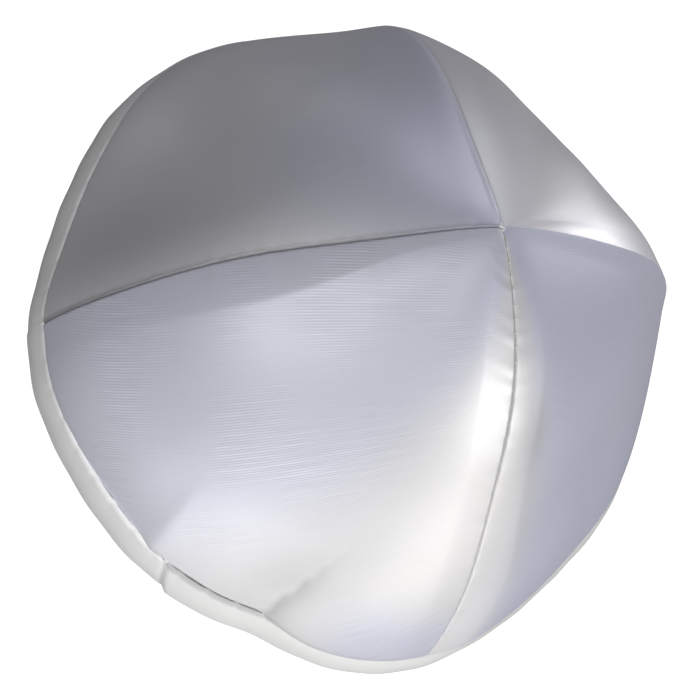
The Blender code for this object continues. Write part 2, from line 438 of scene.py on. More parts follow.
def make_tint_group():
    """A slow change between two whites by the painted reflection, darker or paler where the painted
    shade says so.
    """
    group, start, end = new_group(
        "satin tint",
        (("Place", "NodeSocketVector", None), ("Painted Reflection", "NodeSocketFloat", 0.5),
         ("Cool", "NodeSocketColor", (0.8, 0.8, 0.85, 1)),
         ("Neutral", "NodeSocketColor", (0.8, 0.8, 0.8, 1)), ("Lines", "NodeSocketFloat", 0.0),
         ("Line Strength", "NodeSocketFloat", 0.3), ("Shade", "NodeSocketFloat", 0.0)),
        (("Color", "NodeSocketColor"), ("Roughness", "NodeSocketFloat")))
    cloud = group.nodes.new("ShaderNodeTexNoise")
    cloud.inputs["Scale"].default_value = CLOUD_SCALE
    cloud.inputs["Detail"].default_value = CLOUD_DETAIL
    group.links.new(start.outputs["Place"], cloud.inputs["Vector"])
    swing = math_node(group, "SUBTRACT", cloud.outputs["Fac"], 0.5)
    cloudy = math_node(group, "MULTIPLY", swing, CLOUD_STRENGTH)
    mixed = group.nodes.new("ShaderNodeMix")
    mixed.data_type = "RGBA"
    group.links.new(math_node(group, "ADD", start.outputs["Painted Reflection"], cloudy), mixed.inputs["Factor"])
    group.links.new(start.outputs["Neutral"], mixed.inputs["A"])
    group.links.new(start.outputs["Cool"], mixed.inputs["B"])
    lilac = math_node(group, "MULTIPLY", start.outputs["Painted Reflection"], LINES_IN_COOL)
    seen = math_node(group, "ADD", lilac, LINES_EVERYWHERE)
    lines = math_node(group, "MULTIPLY", start.outputs["Lines"], seen)
    weave = math_node(group, "MULTIPLY", lines, start.outputs["Line Strength"])
    # The shade value is painted shade above 0 and painted light below 0.
    painted_shade = math_node(group, "MULTIPLY", start.outputs["Shade"], SHADE_STRENGTH)
    level = math_node(group, "ADD", math_node(group, "ADD", weave, painted_shade), 1.0)
    lit = group.nodes.new("ShaderNodeVectorMath")
    lit.operation = "SCALE"
    group.links.new(mixed.outputs["Result"], lit.inputs[0])
    group.links.new(level, lit.inputs["Scale"])
    group.links.new(lit.outputs[0], end.inputs["Color"])
    cloud_part = math_node(group, "MULTIPLY", cloudy, CLOUD_ROUGHNESS)
    shade_part = math_node(group, "MULTIPLY", start.outputs["Shade"], SHADE_ROUGHNESS)
    rough = math_node(group, "ADD", cloud_part, shade_part)
    group.links.new(math_node(group, "ADD", rough, SATIN_ROUGHNESS), end.inputs["Roughness"])
    return group


TINT = make_tint_group()
print("tint group:", [item.name for item in TINT.interface.items_tree])

# %% [markdown]
# Each satin joins both groups to one Principled shader. Its plain values are set
# on the shader itself. Some metallic gives the broad bright glints of satin. A
# coat would look like lacquer, and gloss alone like plastic. A little sheen keeps
# the edges from going dark, and a very fine bump lets the weft break the glints.
# The front gore is cut with its weft another way than the rest and shows it more.
# The tape is matt, and the backing inside the cap has a coarser relief.

# %% The satin materials
SATIN_METALLIC = 0.3
SATIN_SHEEN = 0.08
SHEEN_ROUGHNESS = 0.4
THREAD_HEIGHT = 0.1 * MM


def make_satin(name, cool, neutral, turn, metallic=SATIN_METALLIC,
               line_strength=0.05, bump=0.06):
    """Satin with its weft turned by an angle in the cloth's own flat coordinates."""
    material = bpy.data.materials.new(name)
    material.use_nodes = True
    tree = material.node_tree
    shader = tree.nodes["Principled BSDF"]
    shader.inputs["Metallic"].default_value = metallic
    shader.inputs["Sheen Weight"].default_value = SATIN_SHEEN
    shader.inputs["Sheen Roughness"].default_value = SHEEN_ROUGHNESS
    cloth = tree.nodes.new("ShaderNodeUVMap")
    cloth.uv_map = "cloth"
    place = tree.nodes.new("ShaderNodeTexCoord")
    # The painted shade and the painted reflection are read from each vertex.
    shade = tree.nodes.new("ShaderNodeAttribute")
    shade.attribute_name = "shade"
    painted_reflection = tree.nodes.new("ShaderNodeAttribute")
    painted_reflection.attribute_name = "painted_reflection"
    threads = tree.nodes.new("ShaderNodeGroup")
    threads.node_tree = THREADS
    threads.inputs["Turn"].default_value = math.radians(turn)
    tree.links.new(cloth.outputs["UV"], threads.inputs["Cloth"])
    tint = tree.nodes.new("ShaderNodeGroup")
    tint.node_tree = TINT
    tint.inputs["Cool"].default_value = (*cool, 1)
    tint.inputs["Neutral"].default_value = (*neutral, 1)
    tint.inputs["Line Strength"].default_value = line_strength
    tree.links.new(place.outputs["Object"], tint.inputs["Place"])
    tree.links.new(painted_reflection.outputs["Fac"], tint.inputs["Painted Reflection"])
    tree.links.new(threads.outputs["Lines"], tint.inputs["Lines"])
    tree.links.new(shade.outputs["Fac"], tint.inputs["Shade"])
    tree.links.new(tint.outputs["Color"], shader.inputs["Base Color"])
    tree.links.new(tint.outputs["Roughness"], shader.inputs["Roughness"])
    raised = tree.nodes.new("ShaderNodeBump")
    raised.inputs["Strength"].default_value = bump
    raised.inputs["Distance"].default_value = THREAD_HEIGHT
    tree.links.new(threads.outputs["Relief"], raised.inputs["Height"])
    tree.links.new(raised.outputs["Normal"], shader.inputs["Normal"])
    return material


FRONT_WEFT = -50
OTHER_WEFT = 45
# The lilac white is mixed in by the painted reflection.
COOL_WHITE = (0.735, 0.75, 0.90)
NEUTRAL_WHITE = (0.82, 0.81, 0.805)
TAPE_COOL = (0.92, 0.92, 0.93)
TAPE_NEUTRAL = (0.93, 0.93, 0.92)
BACKING_COOL = (0.74, 0.75, 0.79)
BACKING_NEUTRAL = (0.78, 0.78, 0.80)

SATIN = {
    "panel_front": make_satin("satin_front", COOL_WHITE, NEUTRAL_WHITE, FRONT_WEFT,
                              line_strength=0.19, bump=0.05),
    "panel_right": make_satin("satin_right", COOL_WHITE, NEUTRAL_WHITE, OTHER_WEFT),
    "panel_back": make_satin("satin_back", COOL_WHITE, NEUTRAL_WHITE, OTHER_WEFT),
    "panel_left": make_satin("satin_left", COOL_WHITE, NEUTRAL_WHITE, OTHER_WEFT),
}
TAPE_SATIN = make_satin("satin_tape", TAPE_COOL, TAPE_NEUTRAL, OTHER_WEFT, metallic=0.0)
BACKING = make_satin("satin_backing", BACKING_COOL, BACKING_NEUTRAL, 0, bump=0.5)
print("materials:", len(bpy.data.materials))

# %% [markdown]
# ## The relief of the gores
#
# Each gore is pulled in at its seams and stands a little proud beside them,
# where it lies on the allowance that is turned in behind it. That makes a strip
# along the seam which slopes down to the stitches. A strip could be extruded from
# the mesh, but its edge would be hard all the way. As a curve added to the form
# it can be crisp here and soft there: a strip whose softness is 1 ends in a crisp
# edge, and at 2 it rolls softly into the gore. Widths, heights and reaches are in
# mm, at even steps from the rim to the crown.

# %% The strips beside the seams
Strip = namedtuple("Strip", "width height softness reach")
STRIPS = {
    ("panel_front", "first"): Strip(
        (8, 9, 10.5, 4, 2), (0.2, 0.6, 1.3, 0.5, 0.1), 1.1, (25, 25, 22, 10, 4)),
    ("panel_front", "last"): Strip(
        (8, 8, 7.5, 7.5, 3), (0.5, 0.7, 0.7, 0.6, 0.1), 1.1, (25, 25, 20, 8, 4)),
    ("panel_right", "first"): Strip(
        (11, 11, 7.3, 7.2, 3), (0.9, 2.2, 1.5, 0.8, 0.1), 1.2, (25, 25, 20, 12, 4)),
    ("panel_right", "last"): Strip(
        (5, 5, 5, 5, 3), (-0.1, -0.3, -0.6, -0.6, -0.2), 1.6, (20, 20, 25, 20, 8)),
    ("panel_back", "first"): Strip(
        (5, 5, 5, 5, 3), (-0.1, -0.3, -0.5, -0.4, -0.1), 1.2, (20, 20, 20, 14, 6)),
    ("panel_back", "last"): Strip(
        (2, 2, 2, 2, 2), (0.1, 0.15, 0.15, 0.1, 0.1), 2.0, (8, 8, 8, 8, 4)),
    ("panel_left", "first"): Strip(
        (1.9, 1.9, 1.9, 1.9, 1.9), (0.3, 0.5, 0.5, 0.45, 0.2), 1.2, (6, 6, 6, 6, 4)),
    ("panel_left", "last"): Strip(
        (5, 9, 13.5, 9, 3), (0.1, 0.7, 1.5, 0.6, 0.1), 2.0, (25, 25, 25, 15, 5)),
}
SMALL_GORE = 14.0
LARGEST_STRIP = 0.4


def strip_relief(strip, distance, up, width):
    """How far a strip beside a seam stands out, in mm; width is that of the gore."""
    size = np.minimum(read_along(strip.width, up), LARGEST_STRIP * width)
    rise = 1 - np.clip(1 - distance / size, 0, 1) ** strip.softness
    fall = np.exp(-((np.maximum(distance - size, 0) / read_along(strip.reach, up)) ** 2))
    return read_along(strip.height, up) * rise * fall * ease(width / SMALL_GORE)


print("widest strip in mm:", max(max(strip.width) for strip in STRIPS.values()))

# %% [markdown]
# A seam is never quite even. The thread draws the cloth together at each stitch,
# so a dimple marks the stitch, and small puckers run away from the seam and die
# out after a few millimetres. A noise could pucker the cloth, but it wouldn't
# know which way the seam runs. The sum of a few waves along the seam does, and
# with different lengths they don't repeat. The front seams are deep, and the two
# at the back hardly show. Each groove also gets painted shade in its colour. The
# left gore rolls far into its seam with the front gore, so its painted shade is
# wider there. Depths and widths are in mm.

# %% Grooves, stitches and puckers
Groove = namedtuple("Groove", "depth width shade")
GROOVES = {
    "front_left": Groove(0.28, 0.30, 1.6),
    "front_right": Groove(0.32, 0.28, 1.0),
    "back_right": Groove(0.05, 0.40, 0.1),
    "back_left": Groove(0.05, 0.30, 0.2),
}
DEEP_GROOVE = 0.4
SHADE_WIDTH = 0.3
ROLLED_EDGE = ("panel_left", "last")
ROLLED_SHADE_WIDTH = 0.9
STITCH_PITCH = 3.2
STITCH_WIDTH = 0.3
STITCH_DEPTH = 0.4
STITCH_REACH = 0.7
PUCKER_PITCHES = (3.6, 5.3, 8.9)
PUCKER_PHASES = {"first": 1.7, "last": 0.9}
PUCKER_START = 0.6
PUCKER_REACH = 3.0
PUCKER_HEIGHT = 0.06


def stitched_relief(groove, distance, along, phase):
    """The groove of a seam with its dimples and puckers, in mm."""
    valley = groove.depth * np.exp(-((distance / groove.width) ** 2))
    from_stitch = (along + STITCH_PITCH / 2) % STITCH_PITCH - STITCH_PITCH / 2
    near_stitch = np.exp(-((from_stitch / STITCH_WIDTH) ** 2) - (distance / STITCH_REACH) ** 2)
    dimple = STITCH_DEPTH * groove.depth * near_stitch
    ripple = sum(np.sin(math.tau * along / pitch + phase * index)
                 for index, pitch in enumerate(PUCKER_PITCHES, 1))
    pull = PUCKER_HEIGHT * min(groove.depth / DEEP_GROOVE, 1.0)
    pucker = pull * ripple * np.exp(-distance / PUCKER_REACH) * ease(distance / PUCKER_START)
    return pucker - valley - dimple


print("deepest groove in mm:", max(groove.depth for groove in GROOVES.values()))

# %% [markdown]
# The cap has been folded and worn, so two creases run up from the rim of the
# front gore. At a crease the cloth bends sharply and then comes back slowly, to
# the left and to the right of the line, and one side of it may get painted shade.
# It could be sculpted with a brush, but a few exponential curves say the same with
# numbers that can be read and changed. They are drawn on the cloth laid flat.

# %% Creases
Crease = namedtuple(
    "Crease", "gore across up across_end up_end left left_width right right_width reach shade")
CREASES = (
    Crease("panel_front", 0.658, 0.05, 0.710, 0.31, 2.0, 14.0, 2.3, 3.5, 26.0, 1.1),
    Crease("panel_front", 0.445, 0.04, 0.409, 0.24, -1.2, 4.0, -2.8, 12.0, 26.0, 0.0),
)
CREASE_END = 0.35
CREASE_SHADE_WIDTH = 4.5
CREASE_EDGE = 0.8


def flat_places(gore, across, up):
    """Where places of a gore lie when the cloth is flat, in mm."""
    arc = surface(gore, across, up)[1] / MM
    return np.stack([(across - 0.5) * arc, up * CROWN_HEIGHT / MM * math.pi / 2], -1)


def crease_relief(gore, flat):
    """How far the creases move the cloth outwards, in mm, and the painted shade on their right side.
    """
    outward = np.zeros(len(flat))
    shade = np.zeros(len(flat))
    for crease in CREASES:
        if crease.gore == gore.name:
            across = np.array([crease.across, crease.across_end])
            ends = flat_places(gore, across, np.array([crease.up, crease.up_end]))
            line = ends[1] - ends[0]
            offset = flat - ends[0]
            share = offset @ line / (line @ line)
            aside = (offset[:, 0] * line[1] - offset[:, 1] * line[0]) / np.linalg.norm(line)
            right = crease.right * (1 - np.exp(-np.maximum(aside, 0) / crease.right_width))
            left = crease.left * (1 - np.exp(np.minimum(aside, 0) / crease.left_width))
            begun = ease((share + CREASE_END) / CREASE_END)
            fade = begun * ease((1 + CREASE_END / 2 - share) / (3 * CREASE_END))
            outward += (right + left) * np.exp(-((aside / crease.reach) ** 2)) * fade
            # Painted shade on the right side of the crease line.
            edge = ease(aside / CREASE_EDGE)
            shade += crease.shade * edge * np.exp(-aside.clip(0) / CREASE_SHADE_WIDTH) * fade
    return outward, shade


print("creases:", len(CREASES))

# %% [markdown]
# On the left and back gores the cloth stands out in broad swells and sinks in
# shallow hollows, because a soft cap keeps the shape in which it was put down.
# Proportional editing could pull them out by hand. A round spot with a place, a
# size and a rise does the same and is changed by one number.

# %% Broad swells and hollows
Swell = namedtuple("Swell", "gore across up width height rise")
SWELLS = (
    Swell("panel_left", 0.60, 0.22, 0.22, 0.12, -1.5),
    Swell("panel_left", 0.50, 0.44, 0.28, 0.13, 1.5),
    Swell("panel_left", 0.10, 0.22, 0.10, 0.12, -1.5),
    Swell("panel_back", 0.50, 0.34, 0.15, 0.15, -1.5),
    Swell("panel_back", 0.75, 0.31, 0.10, 0.15, 0.7),
    Swell("panel_back", 0.05, 0.42, 0.08, 0.10, 0.7),
    Swell("panel_left", 0.46, 0.12, 0.16, 0.07, 2.4),
)


def swell_relief(gore, across, up):
    """How far the swells and hollows move the cloth outwards, in mm."""
    outward = np.zeros_like(across)
    for swell in SWELLS:
        if swell.gore == gore.name:
            hold = 4 * across * (1 - across)
            outward += swell.rise * hold * spot_share(swell, across, up)
    return outward


print("swells and hollows:", len(SWELLS))

# %% [markdown]
# White satin is never one white. It mirrors what is round it, so one part looks
# lilac and another a warm grey, and a place that faces the light looks paler than
# a fold. This light and shade could be painted on the mesh by hand. Here it is
# painted by two values worked out for each vertex and read by the materials: the
# shade is a sum of soft patches of painted light and shade, paler below 0 and
# darker above, and the painted reflection follows simple slopes on each gore.

# %% Painted reflection, light and shade on the cloth
# Each patch is painted light below 0 or painted shade above 0 on one gore.
Patch = namedtuple("Patch", "gore across up width height shade")
PAINTED_LIGHT_PATCHES = (
    Patch("panel_left", 0.60, 0.16, 0.08, 0.07, -0.4),
    Patch("panel_left", 0.87, 0.20, 0.12, 0.16, 0.6),
    Patch("panel_left", 0.38, 0.30, 0.12, 0.09, -0.4),
    Patch("panel_left", 0.42, 0.47, 0.15, 0.12, -0.8),
    Patch("panel_back", 0.05, 0.74, 0.07, 0.25, -0.7),
    Patch("panel_back", 0.42, 0.68, 0.12, 0.12, 0.6),
    Patch("panel_back", 0.27, 0.86, 0.12, 0.09, -0.6),
    Patch("panel_back", 0.95, 0.62, 0.07, 0.12, -0.3),
    Patch("panel_front", 0.42, 0.82, 0.16, 0.10, -0.75),
    Patch("panel_front", 0.23, 0.74, 0.09, 0.07, -0.7),
    Patch("panel_front", 0.37, 0.20, 0.05, 0.12, -0.3),
    Patch("panel_front", 0.46, 0.09, 0.05, 0.06, -0.35),
    Patch("panel_front", 0.22, 0.55, 0.12, 0.08, 0.4),
    Patch("panel_front", 0.66, 0.34, 0.20, 0.10, 0.25),
    Patch("panel_front", 0.53, 0.12, 0.08, 0.09, -0.7),
    Patch("panel_front", 0.68, 0.10, 0.12, 0.07, -0.5),
    Patch("panel_right", 0.09, 0.60, 0.06, 0.09, 0.6),
    Patch("panel_right", 0.05, 0.12, 0.09, 0.14, -0.8),
    Patch("panel_right", 0.25, 0.25, 0.12, 0.15, -0.35),
)


def painted_patch_shade(gore, across, up):
    """Broad soft patches of painted light and shade, where the satin is paler or darker."""
    shade = np.zeros_like(across)
    for patch in PAINTED_LIGHT_PATCHES:
        if patch.gore == gore.name:
            shade += patch.shade * spot_share(patch, across, up)
    return shade


print("patches:", len(PAINTED_LIGHT_PATCHES))

# %% [markdown]
# The painted reflection is a slope on each gore. On the left gore it grows
# upwards and towards the seam with the back. On the front gore it fades from the
# left seam, and one cool corner lies at the lower right. A picture painted over the
# gore would show the same, but a slope has no pixels and keeps up with a new size.

# %% The painted reflection on each gore
LEFT_COOL_UP = 1.4
LEFT_COOL_ACROSS = 0.8
LEFT_COOL_START = 0.1
LEFT_LEAST_COOL = 0.2
RIGHT_COOL_FROM = 0.25
BACK_COOL = 0.4
FRONT_COOL = 0.7
FRONT_COOL_TO = 0.55
FRONT_COOL_SLANT = 0.55
FRONT_COOL_FADE = 0.30
CORNER_ACROSS = 0.70
CORNER_ACROSS_FADE = 0.15
CORNER_UP = 0.26
CORNER_UP_FADE = 0.12


def painted_reflection_of(gore, across, up):
    """Painted reflection: 1 where the satin looks lilac and 0 where it looks a neutral white."""
    if gore.name == "panel_left":
        slope = LEFT_COOL_UP * up + LEFT_COOL_ACROSS * (0.5 - across) - LEFT_COOL_START
        return np.clip(slope, LEFT_LEAST_COOL, 1)
    if gore.name == "panel_right":
        return ease(across / RIGHT_COOL_FROM)
    if gore.name == "panel_back":
        return np.full_like(across, BACK_COOL)
    side = ease((FRONT_COOL_TO - across + FRONT_COOL_SLANT * up) / FRONT_COOL_FADE)
    corner = ease((across - CORNER_ACROSS) / CORNER_ACROSS_FADE)
    corner = corner * ease((CORNER_UP - up) / CORNER_UP_FADE)
    return FRONT_COOL * np.maximum(side, corner)


for gore in GORES:
    painted_reflection = painted_reflection_of(gore, np.array([0.5]), np.array([0.5]))[0]
    print(gore.name, "has a coolness of", round(float(painted_reflection), 2), "in its middle")

# %% [markdown]
# ## The gores
#
# Where two gores meet, both edges have to roll into the seam in the same
# direction, or a gap would open between them. So a seam's outward direction is
# taken halfway between the directions of its two gores. The gores could also be
# one mesh with a sharp edge, but sewn gores are separate pieces of cloth.

# %% The direction that two gores share
SEAM_SHARE = 2.0


def neighbour(gore, side):
    """The gore on the other side of one of a gore's seams."""
    if side == "first":
        return next(other for other in GORES if other.last == gore.first)
    return next(other for other in GORES if other.first == gore.last)


def seam_normals(gore, side, up):
    """The shared outward direction along a seam, between the normals of both its gores."""
    own, other = (0.0, 1.0) if side == "first" else (1.0, 0.0)
    here = surface_normals(gore, np.full_like(up, own), up)
    there = surface_normals(neighbour(gore, side), np.full_like(up, other), up)
    return unit(here + there)


outward = seam_normals(GORES[0], "last", np.array([0.5]))[0]
print("outward halfway up a seam:", [round(float(value), 2) for value in outward])

# %% [markdown]
# A gore has two layers. The outer one is the form with all its relief. The inner
# one is the backing, which follows the hollows but not the swells. A Solidify
# modifier would give an even wall, but the real one is thicker beside the seams,
# where the allowance is folded in. Behind the tape both layers draw back, so
# that the raw edge is hidden in the fold of the tape.

# %% The two layers of a gore
WALL = 1.2 * MM
TUCK = 1.4 * MM
ROLL_START = 3.0 * MM
ROLL_OUT = 4.0 * MM
ALLOWANCE = 7.0
ALLOWANCE_HEIGHT = 0.5
ALLOWANCE_EDGE = 1.0


def gore_layers(gore, across, up):
    """The outer and inner points of a gore, its flat coordinates and its shade mask."""
    points, arc = surface(gore, across, up)
    normals = surface_normals(gore, across, up)
    flat = flat_places(gore, across, up)
    width = arc / MM
    along = CROWN_HEIGHT / MM * math.pi / 2 - flat[:, 1]
    outward, shade = crease_relief(gore, flat)
    outward += swell_relief(gore, across, up)
    shade += painted_patch_shade(gore, across, up)
    distances = {"first": across * width, "last": (1 - across) * width}
    for side, distance in distances.items():
        groove = GROOVES[getattr(gore, side)]
        outward += strip_relief(STRIPS[gore.name, side], distance, up, width)
        outward += stitched_relief(groove, distance, along, PUCKER_PHASES[side])
        # Painted shade in the groove, darkest on the seam line.
        shade_width = ROLLED_SHADE_WIDTH if (gore.name, side) == ROLLED_EDGE else SHADE_WIDTH
        shade += groove.shade * np.exp(-((distance / shade_width) ** 2))
        shared = np.exp(-((distance / SEAM_SHARE) ** 2))[:, None]
        normals = unit(normals * (1 - shared) + seam_normals(gore, side, up) * shared)
    free = ease((points[:, 2] - BINDING_HEIGHT + ROLL_START) / ROLL_OUT)
    nearest = np.minimum(distances["first"], distances["last"])
    turned_in = 1 - ease((nearest - ALLOWANCE) / ALLOWANCE_EDGE)
    outer = points + normals * (outward * free * MM - TUCK * (1 - free))[:, None]
    depth = TUCK * (1 - free) + WALL + ALLOWANCE_HEIGHT * MM * turned_in * free
    sunk = np.minimum(outward, 0) * free * MM
    inner = points + normals * (sunk - depth)[:, None]
    return outer, inner, flat * MM, shade


print("wall in mm:", round(WALL / MM, 1), "and with the allowance",
      round(WALL / MM + ALLOWANCE_HEIGHT, 1))

# %% [markdown]
# Every piece ends in the same way: its faces look outwards and are smooth, it
# gets its materials, it rides on the cap, and the solid it replaces is hidden.
# One function for all pieces keeps any of them from missing a step.

# %% From a bmesh to a piece
def finish_piece(bm, name, materials, node):
    """Turn a bmesh into a piece that rides on the cap and hides the solid that it replaces."""
    bmesh.ops.recalc_face_normals(bm, faces=bm.faces)
    for face in bm.faces:
        face.smooth = True
    mesh = bpy.data.meshes.new(name)
    bm.to_mesh(mesh)
    bm.free()
    for material in materials:
        mesh.materials.append(material)
    piece = bpy.data.objects.new(name, mesh)
    bpy.context.scene.collection.objects.link(piece)
    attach(piece, "root")
    if node:
        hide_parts(node)
    print(name, "faces:", len(mesh.polygons))
    return piece


# %% [markdown]
# A gore is a curved triangle of cloth. It could be cut from a subdivided sphere,
# but then its edge would step along the seam. A grid laid between two seams
# follows them, so each gore starts as a flat grid and every point is moved onto
# the form. The columns stand closer together towards the seams, where the cloth
# rolls into the stitches. A copy of the grid becomes the inner layer, and a
# bridge between the two open edges closes the wall all round.

# %% The fine gores
GORE_COLUMNS = 160
GORE_ROWS = 130
CROWDING = 0.92
TOP_SHARE = 0.999


def make_gore(gore):
    """One gore: a grid moved onto the form, copied inwards and closed round its edge."""
    bm = bmesh.new()
    cloth = bm.loops.layers.uv.new("cloth")
    shade_layer = bm.verts.layers.float.new("shade")
    reflection_layer = bm.verts.layers.float.new("painted_reflection")
    bmesh.ops.create_grid(bm, x_segments=GORE_COLUMNS, y_segments=GORE_ROWS, size=0.5)
    verts = list(bm.verts)
    places = np.array([vertex.co[:2] for vertex in verts]) + 0.5
    across = places[:, 0] - CROWDING * np.sin(places[:, 0] * math.tau) / math.tau
    up = up_at(GORE_EDGE) + (TOP_SHARE - up_at(GORE_EDGE)) * places[:, 1]
    outer, inner, flat, shade = gore_layers(gore, across, up)
    # The painted reflection: how lilac the satin looks by what it mirrors.
    painted_reflection = painted_reflection_of(gore, across, up)
    for vertex, place, dark, cool in zip(verts, flat, shade, painted_reflection):
        vertex[shade_layer] = dark
        vertex[reflection_layer] = cool
        for loop in vertex.link_loops:
            loop[cloth].uv = place
    copied = bmesh.ops.duplicate(bm, geom=bm.verts[:] + bm.edges[:] + bm.faces[:])
    twin = copied["vert_map"]
    for vertex, outside, inside in zip(verts, outer, inner):
        vertex.co = outside
        twin[vertex].co = inside
    for part in copied["geom"]:
        if isinstance(part, bmesh.types.BMFace):
            part.material_index = 1
    open_edges = [edge for edge in bm.edges if edge.is_boundary]
    bmesh.ops.bridge_loops(bm, edges=open_edges)
    name = gore.name.replace("panel", "gore")
    return finish_piece(bm, name, (SATIN[gore.name], BACKING), gore.name)


gore_pieces = [make_gore(gore) for gore in GORES]

# %% [markdown]
# ## The binding
#
# The binding is a strip of satin folded over the raw edge of the gores, with
# its own edges turned in. A curve with a bevel could make it, but the curve's
# frame twists on a wavy rim. Here the tape's section is drawn once beside the
# rim and spun round the cap, and then each of its points is moved from the
# circle to the cap's own outline at the same height. The outline is smoothed
# first, because a tape runs over the seams without the gores' small corners.

# %% The rim's outline
TAPE_COLUMNS = 160
SMOOTHING = 14


def rim_ring(height):
    """A smooth closed outline at a height, and the inward directions along it."""
    flat = whole_ring(up_at(max(height, 0.0)), TAPE_COLUMNS) * RIM_RADIUS + CENTRE
    for _ in range(SMOOTHING):
        flat = (np.roll(flat, 1, 0) + 2 * flat + np.roll(flat, -1, 0)) / 4
    ahead = unit(np.roll(flat, -1, 0) - np.roll(flat, 1, 0))
    return flat, np.stack([-ahead[:, 1], ahead[:, 0]], -1)


rim_path = rim_ring(0.0)[0]
RIM_LENGTH = np.linalg.norm(np.roll(rim_path, -1, 0) - rim_path, axis=1).sum()
print("rim length in mm:", round(RIM_LENGTH / MM, 1))

# %% [markdown]
# Cut through, the tape is a narrow U with a soft foot. Both legs bulge a little
# and end in a small round lip where the edge is turned in. It could be a box
# with a bevel, but then the legs would be flat. Four arcs and two bowed legs
# give the real shape, and the cloth's own thickness is added later.

# %% The tape's section
TAPE_TOP = BINDING_HEIGHT + 0.1 * MM
TAPE_INSIDE_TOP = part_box("rim_binding")[1].z - 0.9 * MM
TAPE_WIDTH = 4.0 * MM
TAPE_CORNER = 1.2 * MM
TAPE_BULGE = 0.35 * MM
TAPE_LIP = 0.4 * MM
INSIDE_BULGE = 0.5
ARC_STEPS = 6
LEG_STEPS = 10


def arc_points(centre, radius, start, end, steps):
    """Points on a round corner, as (depth, height)."""
    turns = [math.radians(start + (end - start) * step / steps) for step in range(steps + 1)]
    return [(centre[0] - radius * math.cos(turn), centre[1] + radius * math.sin(turn))
            for turn in turns]


def tape_section():
    """The tape's face as (depth, height): down the outside, under the rim, up the inside."""
    lip = arc_points((TAPE_LIP, TAPE_TOP - TAPE_LIP), TAPE_LIP, 160, 0, ARC_STEPS)
    foot = arc_points((TAPE_CORNER, TAPE_CORNER), TAPE_CORNER, 0, -90, ARC_STEPS)
    heel = arc_points((TAPE_WIDTH - TAPE_CORNER, TAPE_CORNER), TAPE_CORNER, -90, -180, ARC_STEPS)
    last = (TAPE_WIDTH - TAPE_LIP, TAPE_INSIDE_TOP - TAPE_LIP)
    inside = arc_points(last, TAPE_LIP, 180, 30, ARC_STEPS)
    outer_leg, inner_leg = [], []
    for step in range(1, LEG_STEPS):
        share = step / LEG_STEPS
        bulge = TAPE_BULGE * math.sin(math.pi * share)
        outer_height = lip[-1][1] + (foot[0][1] - lip[-1][1]) * share
        inner_height = heel[-1][1] + (inside[0][1] - heel[-1][1]) * share
        outer_leg.append((-bulge, outer_height))
        inner_leg.append((TAPE_WIDTH + bulge * INSIDE_BULGE, inner_height))
    return lip + outer_leg + foot + heel + inner_leg + inside


print("points in the section:", len(tape_section()))

# %% [markdown]
# The tape's two ends meet on the front gore, where one end is turned under and
# laid over the other. There the rim is thicker for a few centimetres, with a
# small step. Blind stitches draw the upper edge in, every few millimetres, and
# the rest of the tape waves a little. A Displace modifier could do it, but it
# needs a picture or a texture. Sums along the rim keep the lap where it belongs.

# %% Lap, stitches and waves of the tape
LAP_ACROSS = 0.475
LAP_SLANT = 4.1
LAP_HEIGHT = 0.9
LAP_STEP = 0.9
LAP_FLAT = 8.0
LAP_LENGTH = 26.0
LAP_AT_TOP = 0.5
DIP_DEPTH = 0.35
DIP_WIDTH = 0.7
TAPE_LOWER = 9.0
Wave = namedtuple("Wave", "height length start")
TAPE_WAVES = (Wave(0.12, 37.0, 0.0), Wave(0.08, 13.7, 1.0))
WAVES_AT_TOP = 0.4
TAPE_STITCH = 7.4
TAPE_STITCH_START = 2.0
TAPE_STITCH_WIDTH = 0.6
TAPE_STITCH_DEPTH = 0.3
TAPE_STITCH_FROM = 5.5
TAPE_STITCH_FADE = 3.0


def tape_relief(along, lap_along, height):
    """How far the tape stands out, in mm, at a distance along the rim and a height in mm."""
    lap = along - lap_along - LAP_SLANT * (1 - height * MM / BINDING_HEIGHT)
    thick = LAP_HEIGHT * ease(lap / LAP_STEP) * (1 - ease((lap - LAP_FLAT) / LAP_LENGTH))
    dip = DIP_DEPTH * np.exp(-((lap / DIP_WIDTH) ** 2))
    lower = ease(1 - height / TAPE_LOWER)
    waves = sum(wave.height * np.sin(math.tau * along / wave.length + wave.start)
                for wave in TAPE_WAVES)
    from_stitch = (along + TAPE_STITCH_START) % TAPE_STITCH - TAPE_STITCH / 2
    stitch = np.exp(-((from_stitch / TAPE_STITCH_WIDTH) ** 2))
    drawn = TAPE_STITCH_DEPTH * stitch * ease((height - TAPE_STITCH_FROM) / TAPE_STITCH_FADE)
    thick *= LAP_AT_TOP + (1 - LAP_AT_TOP) * lower
    waves *= WAVES_AT_TOP + (1 - WAVES_AT_TOP) * lower
    return thick - dip + waves - drawn


print("step at the lap in mm:", round(float(tape_relief(LAP_FLAT, 0.0, 0.0)), 2))

# %% [markdown]
# Up to the lap the tape's upper edge gets a painted highlight, a pale hem where it
# catches the light. Beyond it a painted grey shadow of the turned end fades after
# some centimetres. A thin strip of its own could carry either, but the shade value
# is already there.

# %% The tape's upper edge
EDGE_WIDTH = 0.8 * MM
EDGE_FADE = 0.4 * MM
PAINTED_HEM_HIGHLIGHT = -0.8
PAINTED_LAP_SHADOW = 0.8
GREY_LENGTH = 55.0
GREY_FADE = 20.0
LEFT_GORE_COLUMN = 3 * TAPE_COLUMNS


